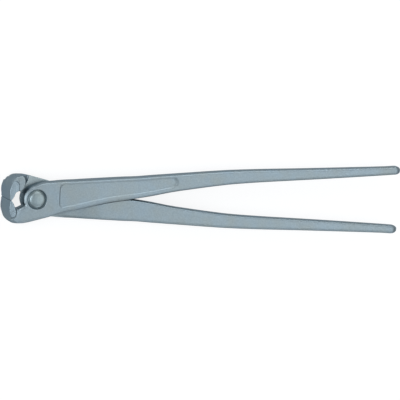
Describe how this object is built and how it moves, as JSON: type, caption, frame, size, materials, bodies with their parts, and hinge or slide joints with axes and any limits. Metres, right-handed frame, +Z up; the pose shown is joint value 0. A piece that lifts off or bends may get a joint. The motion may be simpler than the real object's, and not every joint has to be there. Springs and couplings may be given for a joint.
{
  "type": "end-cutting pliers",
  "caption": "Long slim end-cutting pliers in bare plated steel: a short wide head, a lap joint with a large rivet, and two plain tapering handles.",
  "frame": {"origin": "under the middle of the closed tool's length and width, at the plane that the sides of the jaws lie on", "axes": "+X along the tool from the cutting edges to the handle ends, +Y from the rear lever's handle to the front lever's handle, +Z up along the joint's axis"},
  "size_m": [0.3, 0.0498, 0.025],
  "materials": {
    "lever_steel": "zinc plated over a blasted forging, satin",
    "rivet_steel": "zinc plated, turned, satin"
  },
  "bodies": {
    "front": {"front_lever": "lever_steel", "joint_rivet": "rivet_steel"},
    "rear": {"rear_lever": "lever_steel"}
  },
  "joints": [
    {"name": "jaw_pivot", "type": "hinge", "parent": "front", "child": "rear", "pos_m": [-0.1279, 0, 0.0125], "axis": [0, 0, -1], "range_deg": [0, 45]}
  ]
}
